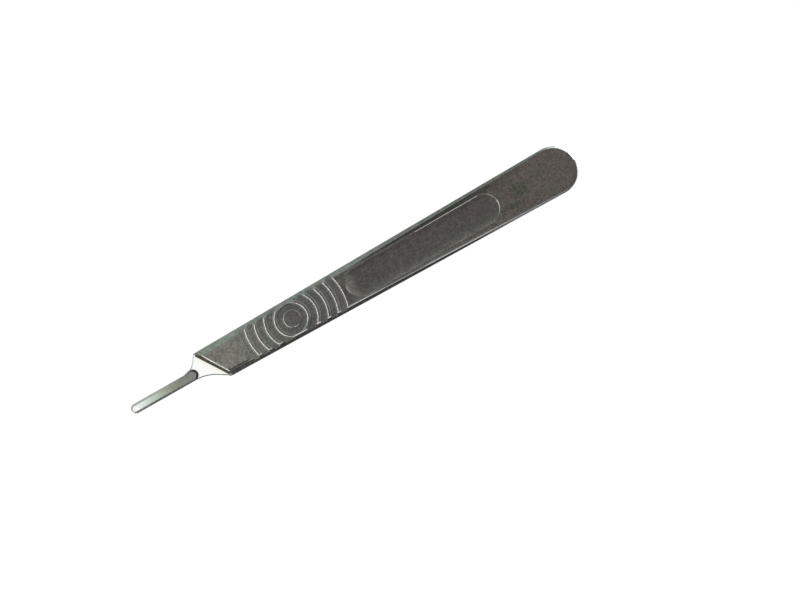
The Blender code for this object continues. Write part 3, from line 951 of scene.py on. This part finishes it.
# Painted highlight on rims that face the nose, on the shoulder's rim and on its near end
EDGE_TONES = [
    (0.21, (0.16, 0.16, 0.15)),
    (0.25, (0.19, 0.19, 0.178)),
    (0.50, (0.17, 0.17, 0.16)),
]
# Painted highlight on the step at the recess's rim
PANEL_EDGE_TONES = [
    (0.52, (0.17, 0.17, 0.16)),
    (0.60, (0.15, 0.15, 0.14)),
    (0.80, (0.13, 0.13, 0.12)),
]
# Near white: ground bright steel painted as a reflection of bright light, warmer and darker next to the
# shoulder
WEB_TONES = [
    (0.0, (0.88, 0.84, 0.70)),
    (0.3, (0.93, 0.91, 0.84)),
    (0.8, (0.955, 0.965, 0.955)),
]
# Much lighter towards the tip: a painted sheen that stands for the reflection of bright light on the
# lug's top
LUG_TONES = [
    (0.010, (0.86, 0.90, 0.87)),
    (0.031, (0.62, 0.71, 0.64)),
    (0.049, (0.49, 0.56, 0.50)),
    (0.069, (0.36, 0.42, 0.345)),
    (0.088, (0.275, 0.305, 0.25)),
    (0.108, (0.225, 0.24, 0.19)),
    (0.127, (0.205, 0.22, 0.185)),
]
# The chamfer's two sides, painted as lit and shaded copies: lighter towards the tip, and on the far
# side dark at the rear as painted shade
LUG_EDGE_TONES = [
    (0.010, (0.40, 0.41, 0.40)),
    (0.030, (0.34, 0.35, 0.34)),
    (0.055, (0.24, 0.25, 0.24)),
    (0.140, (0.26, 0.26, 0.25)),
]
LUG_FAR_EDGE_TONES = [
    (0.020, (0.27, 0.235, 0.22)),
    (0.060, (0.24, 0.21, 0.195)),
    (0.100, (0.18, 0.16, 0.15)),
    (0.135, (0.09, 0.09, 0.08)),
    (0.150, (0.04, 0.04, 0.038)),
]
# A faint painted highlight on the other rims and on the roundings below
FAINT_EDGE_TONES = [
    (0.2, (0.118, 0.118, 0.108)),
    (0.5, (0.114, 0.112, 0.104)),
]
# The web's edges: painted shade on the near side, and a pale bluish painted reflection on the far side
# and on the shoulder wall's far end
WEB_EDGE_TONES = [
    (0.1, (0.130, 0.130, 0.130)),
    (0.2, (0.095, 0.095, 0.095)),
]
WEB_FAR_EDGE_TONES = [(0.1, (0.17, 0.18, 0.20)), (0.2, (0.17, 0.18, 0.20))]
# Near black: painted shade on the shoulder's wall and on the lug's rear wall
WALL_TONES = [(0.1, (0.026, 0.025, 0.021))]
# Lighter overlays: painted light on the recess's front cove, and a painted reflection where the grooves
# run out past the far edge
PANEL_LIFT = from_panel_front, PANEL_FRONT_TONES
FLOOR_LIFT = past_face, FLOOR_END_TONES
FINISHES = [
    finish("satin steel", BODY_TONES, 0.28, stains_and_shade=STAINS_AND_SHADE),
    # The edge finish is a painted highlight
    finish("edge highlight", EDGE_TONES, 0.34, mottle=0.2, grain=0),
    finish("faint edge", FAINT_EDGE_TONES, 0.34, mottle=0.4, grain=0),
    finish("near bevel", NEAR_BEVEL_TONES, 0.28, mottle=0.5),
    finish("far bevel", FAR_BEVEL_TONES, 0.28, mottle=0.8),
    finish("near bevel edge", NEAR_BEVEL_EDGE_TONES, 0.28, mottle=0.2, grain=0),
    finish("far bevel edge", FAR_BEVEL_EDGE_TONES, 0.28, mottle=0.3, grain=0),
    finish("panel steel", PANEL_TONES, 0.34, mottle=0.9, run=across_panel, lift=PANEL_LIFT),
    finish("panel edge", PANEL_EDGE_TONES, 0.28, mottle=0.2, grain=0),
    finish("bright steel", WEB_TONES, 0.2, mottle=0.05, grain=POLISHED, run=from_shoulder),
    finish("web edge", WEB_EDGE_TONES, 0.3, mottle=0.2, grain=0),
    finish("web far edge", WEB_FAR_EDGE_TONES, 0.3, mottle=0.2, grain=0),
    # The lug's top finish is a painted sheen
    finish("lug sheen", LUG_TONES, 0.26, mottle=0.35),
    finish("lug edge", LUG_EDGE_TONES, 0.28, mottle=0.3, grain=0),
    finish("lug far edge", LUG_FAR_EDGE_TONES, 0.28, mottle=0.3, grain=0),
    finish("dark wall", WALL_TONES, 0.8, mottle=0.5, metallic=0.0),
    finish("side steel", BODY_TONES, 0.28),
    finish("groove steel", BODY_TONES, 0.28, lift=FLOOR_LIFT),
    finish("groove foot", BODY_TONES, 0.6, mottle=0.6, grain=0),
]
# The dark wall, which is painted shade, has no gloss at all
wall_shader = FINISHES[WALL].node_tree.nodes["Principled BSDF"]
wall_shader.inputs["Specular IOR Level"].default_value = 0.0
wall_shader.inputs["IOR"].default_value = 1.0

# The handle's form, with the lug joined last
SMOOTH_BELOW = math.radians(11)
FACE_WEIGHT = 80
handle = blank()
combine(handle, "DIFFERENCE", shoulder_cut())
combine(handle, "UNION", web_plate())
combine(handle, "DIFFERENCE", grip_die("upper grip", upper_face(GRIP_CENTRE)))
combine(handle, "DIFFERENCE", grip_die("lower grip", lower_face(GRIP_CENTRE)))
combine(handle, "DIFFERENCE", panel_die("upper panel", upper_face(PANEL_MIDDLE), -PANEL_SKEW))
combine(handle, "DIFFERENCE", panel_die("lower panel", lower_face(PANEL_MIDDLE), PANEL_SKEW))
head = lug()
combine(head, "DIFFERENCE", blade_grooves())
combine(handle, "UNION", settle(head))
settle(handle)
handle.name = "handle"
handle.data.name = "handle"
handle.data.shade_smooth()
handle.data.set_sharp_from_angle(angle=SMOOTH_BELOW)
flat = handle.modifiers.new("flat faces", "WEIGHTED_NORMAL")
flat.keep_sharp = True
flat.weight = FACE_WEIGHT

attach(handle, "root")
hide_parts("scalpel_handle")

# Table, white to the camera and in reflections, but with the handle's shadow
TABLE_SIZE = 6.0
TABLE_DROP = 0.02 * MM
TABLE_GREY = 0.86
TABLE_GLOW = 0.88
bpy.ops.mesh.primitive_plane_add(size=TABLE_SIZE, location=(0, 0, -TABLE_DROP))
table = bpy.context.object
table.name = "table"
white = bpy.data.materials.new("white table")
white.use_nodes = True
tree = white.node_tree
tree.nodes.clear()
rays = add(tree, "ShaderNodeLightPath").outputs
seen = rays["Is Camera Ray"]
for kind in ("Is Glossy Ray", "Is Transmission Ray"):
    seen = add(tree, "ShaderNodeMath", {0: seen, 1: rays[kind]}, operation="MAXIMUM").outputs[0]
glowing = add(tree, "ShaderNodeMath", {0: seen, 1: TABLE_GLOW}, operation="MULTIPLY")
matt = add(tree, "ShaderNodeBsdfDiffuse", {"Color": (TABLE_GREY, TABLE_GREY, TABLE_GREY, 1)})
glow = add(tree, "ShaderNodeEmission", {"Color": (1, 1, 1, 1), "Strength": 1.0})
both = add(tree, "ShaderNodeMixShader", {0: glowing.outputs[0], 1: matt.outputs[0], 2: glow.outputs[0]})
add(tree, "ShaderNodeOutputMaterial", {0: both.outputs[0]})
table.data.materials.append(white)

# Even white surroundings
world = bpy.data.worlds.new("studio")
world.use_nodes = True
background = world.node_tree.nodes["Background"]
background.inputs["Color"].default_value = (1, 1, 1, 1)
background.inputs["Strength"].default_value = 1.0
bpy.context.scene.world = world

# Lights and cards, by their direction from the handle
LIGHT_DISTANCE = 0.6
CARD_DISTANCE = 0.9


def facing(azimuth, elevation, distance):
    """A place round the handle that faces it, from a direction in the handle's own frame."""
    a, e = math.radians(azimuth), math.radians(elevation)
    way = Vector((math.cos(a) * math.cos(e), math.sin(a) * math.cos(e), math.sin(e)))
    return Matrix.Translation(way * distance) @ way.to_track_quat("Z", "Y").to_matrix().to_4x4()


def soft_box(name, azimuth, elevation, width, height, radiance, colour=(1, 1, 1)):
    """An area light, which the camera doesn't see."""
    light = bpy.data.lights.new(name, "AREA")
    light.shape = "RECTANGLE"
    light.size, light.size_y = width, height
    light.energy = radiance * math.pi * width * height
    light.color = colour
    lamp = bpy.data.objects.new(name, light)
    bpy.context.scene.collection.objects.link(lamp)
    lamp.matrix_world = facing(azimuth, elevation, LIGHT_DISTANCE)
    lamp.visible_camera = False


def grey_card(name, azimuth, elevation, width, height, level):
    """A card that only reflections see."""
    bpy.ops.mesh.primitive_plane_add(size=1.0)
    card = bpy.context.object
    card.name = name
    size = Matrix.Diagonal((width, height, 1, 1))
    card.matrix_world = facing(azimuth, elevation, CARD_DISTANCE) @ size
    grey = bpy.data.materials.new(name)
    grey.use_nodes = True
    grey.node_tree.nodes.clear()
    shade = add(grey.node_tree, "ShaderNodeEmission", {"Color": (level, level, level, 1)})
    add(grey.node_tree, "ShaderNodeOutputMaterial", {0: shade.outputs[0]})
    card.data.materials.append(grey)
    card.visible_camera = False
    card.visible_diffuse = False
    card.visible_shadow = False


soft_box("back box", 90, 30, 1.2, 0.56, 0.9, (0.55, 0.95, 0.85))
soft_box("left box", 175, 34, 0.9, 0.22, 9.0)
soft_box("corner box", 222, 34, 0.3, 0.22, 5.0)
soft_box("near strip", 270, 42, 0.5, 0.14, 3.6)
soft_box("right box", 10, 26, 0.8, 0.26, 3.0)
grey_card("near card", 270, 15, 2.4, 0.5, 0.13)
grey_card("high card", 270, 66, 1.0, 0.3, 0.4)

# Camera straight above, turned so that the handle climbs to the right. The handle's middle lies
# CENTRE_ACROSS and CENTRE_UP pixels from the picture's.
PIXELS_PER_MM = 4.081
PICTURE_WIDTH = 800
TILT = math.radians(29.6)
CENTRE_ACROSS = -46.79
CENTRE_UP = 15.3
HEIGHT = 1500 * MM
SENSOR = 36.0
NEAREST, FARTHEST = 10 * MM, 20.0
right = Vector((math.cos(TILT), -math.sin(TILT), 0))
up = Vector((math.sin(TILT), math.cos(TILT), 0))
lens = bpy.data.cameras.new("camera")
lens.sensor_width = SENSOR
lens.lens = SENSOR * HEIGHT / (PICTURE_WIDTH / PIXELS_PER_MM * MM)
lens.clip_start, lens.clip_end = NEAREST, FARTHEST
camera = bpy.data.objects.new("camera", lens)
bpy.context.scene.collection.objects.link(camera)
target = (right * -CENTRE_ACROSS - up * CENTRE_UP) / PIXELS_PER_MM * MM
turn = Matrix((right, up, Vector((0, 0, 1)))).transposed()
above = Vector((0, 0, HEIGHT + REAR_THICKNESS))
camera.matrix_world = Matrix.Translation(target + above) @ turn.to_4x4()
bpy.context.scene.camera = camera
bpy.context.scene.view_settings.view_transform = "Standard"
